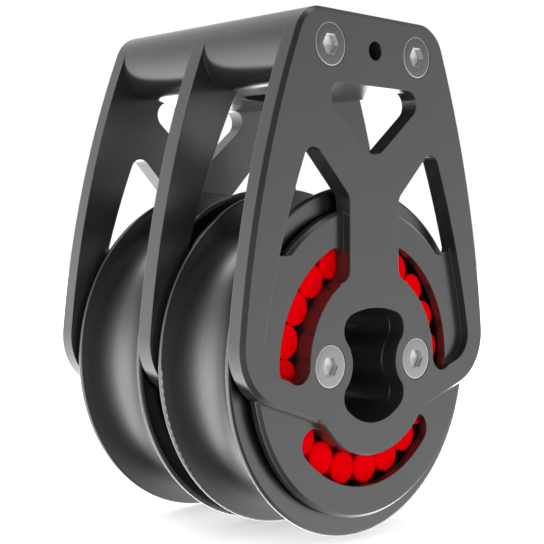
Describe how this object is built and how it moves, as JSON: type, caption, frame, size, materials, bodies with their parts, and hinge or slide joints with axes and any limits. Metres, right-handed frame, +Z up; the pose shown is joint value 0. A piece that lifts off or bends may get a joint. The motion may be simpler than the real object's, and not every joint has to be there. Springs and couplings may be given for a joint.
{
  "type": "double sailing block",
  "caption": "Double sailing block: two wide-grooved sheaves side by side on roller bearings in a machined frame of three windowed cheeks, with a bored head and a waisted lashing passage through the hub.",
  "frame": {"origin": "centre of the hub passage: on the sheave axis, midway between the two outer cheeks", "axes": "+X across the block along the sheave axis, -Y towards the front edge of the cheeks, +Z up to the head"},
  "size_m": [0.0634, 0.0822, 0.1182],
  "materials": {
    "frame": "dark grey hard-anodised, satin",
    "sheave": "dark grey hard-anodised, turned, satin",
    "roller": "bright red engineering plastic, ground",
    "thrust_ring": "natural acetal",
    "screw": "stainless steel, bright"
  },
  "bodies": {
    "frame": {"centre_frame": "frame", "right_cheek": "frame", "left_cheek": "frame", "right_head_screw_front": "screw", "right_head_screw_back": "screw", "right_hub_screw_front": "screw", "right_hub_screw_back": "screw", "left_head_screw_front": "screw", "left_head_screw_back": "screw", "left_hub_screw_front": "screw", "left_hub_screw_back": "screw"},
    "right_sheave": {"right_sheave": "sheave", "right_outer_thrust_ring": "thrust_ring", "right_inner_thrust_ring": "thrust_ring"},
    "left_sheave": {"left_sheave": "sheave", "left_outer_thrust_ring": "thrust_ring", "left_inner_thrust_ring": "thrust_ring"},
    "right_rollers": {"right_roller_1": "roller", "right_roller_2": "roller", "right_roller_3": "roller", "right_roller_4": "roller", "right_roller_5": "roller", "right_roller_6": "roller", "right_roller_7": "roller", "right_roller_8": "roller", "right_roller_9": "roller", "right_roller_10": "roller", "right_roller_11": "roller", "right_roller_12": "roller", "right_roller_13": "roller", "right_roller_14": "roller", "right_roller_15": "roller", "right_roller_16": "roller", "right_roller_17": "roller", "right_roller_18": "roller", "right_roller_19": "roller", "right_roller_20": "roller"},
    "left_rollers": {"left_roller_1": "roller", "left_roller_2": "roller", "left_roller_3": "roller", "left_roller_4": "roller", "left_roller_5": "roller", "left_roller_6": "roller", "left_roller_7": "roller", "left_roller_8": "roller", "left_roller_9": "roller", "left_roller_10": "roller", "left_roller_11": "roller", "left_roller_12": "roller", "left_roller_13": "roller", "left_roller_14": "roller", "left_roller_15": "roller", "left_roller_16": "roller", "left_roller_17": "roller", "left_roller_18": "roller", "left_roller_19": "roller", "left_roller_20": "roller"}
  },
  "joints": [
    {"name": "right_sheave_spin", "type": "hinge", "parent": "frame", "child": "right_sheave", "pos_m": [0.01473, 0, 0], "axis": [1, 0, 0], "continuous": true},
    {"name": "left_sheave_spin", "type": "hinge", "parent": "frame", "child": "left_sheave", "pos_m": [-0.01473, 0, 0], "axis": [1, 0, 0], "continuous": true},
    {"name": "right_rollers_orbit", "type": "hinge", "parent": "frame", "child": "right_rollers", "pos_m": [0.01473, 0, 0], "axis": [1, 0, 0], "continuous": true},
    {"name": "left_rollers_orbit", "type": "hinge", "parent": "frame", "child": "left_rollers", "pos_m": [-0.01473, 0, 0], "axis": [1, 0, 0], "continuous": true}
  ],
  "couplings": [
    {"joint": "right_rollers_orbit", "follows": "right_sheave_spin", "ratio": 0.5786},
    {"joint": "left_rollers_orbit", "follows": "left_sheave_spin", "ratio": 0.5786}
  ]
}
